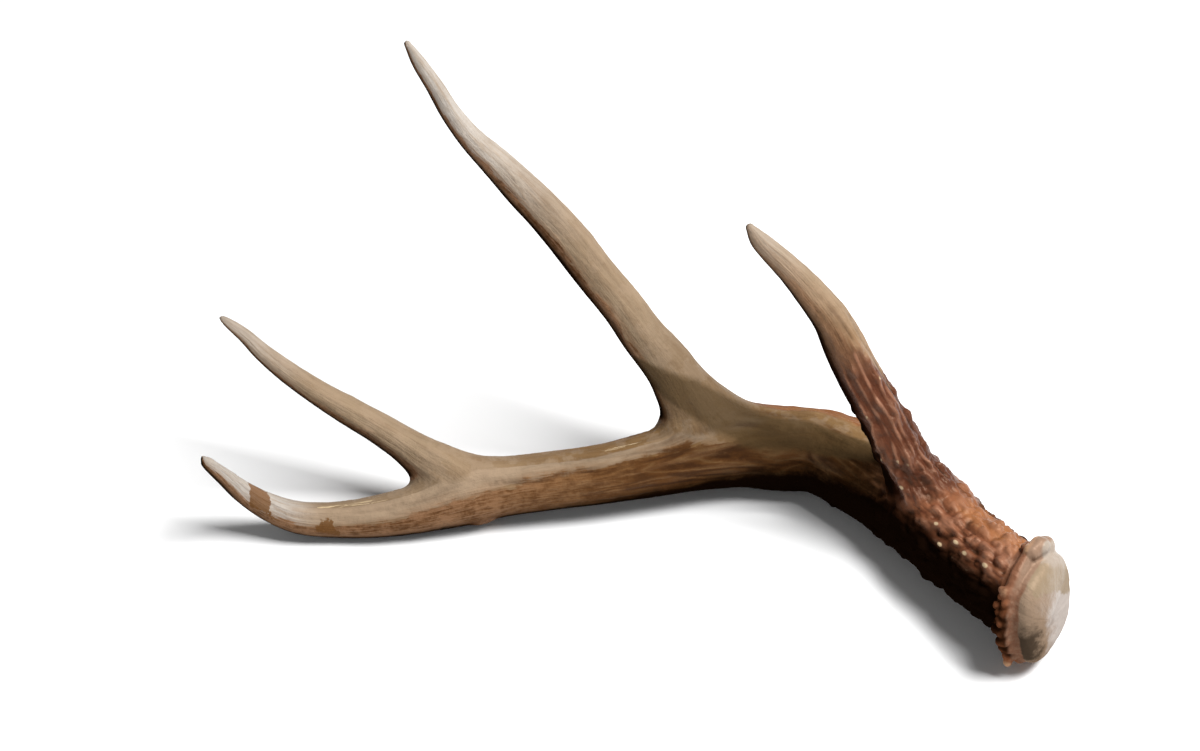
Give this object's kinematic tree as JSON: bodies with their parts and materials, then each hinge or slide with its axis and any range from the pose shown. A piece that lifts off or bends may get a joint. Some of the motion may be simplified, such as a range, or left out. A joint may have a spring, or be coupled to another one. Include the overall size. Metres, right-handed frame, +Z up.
{
  "type": "deer antler",
  "caption": "Shed deer antler with a rough burr and pale seal, curved main beam and upright pointed tines, resting tines up.",
  "frame": {"origin": "centre of the footprint's bounding box, on the level surface the antler rests on", "axes": "+X the long way, from the beam's tip towards the burr; +Y away from the side the tines are seen from, towards the outside of the beam's bow; +Z up, the way the tines rise"},
  "size_m": [0.3612, 0.1577, 0.2204],
  "materials": {
    "antler_bone": "satin"
  },
  "bodies": {
    "root": {"beam_base": "antler_bone", "beam_lower": "antler_bone", "beam_upper": "antler_bone", "beam_tip": "antler_bone", "brow_tine": "antler_bone", "second_tine": "antler_bone", "third_tine": "antler_bone"}
  },
  "joints": []
}
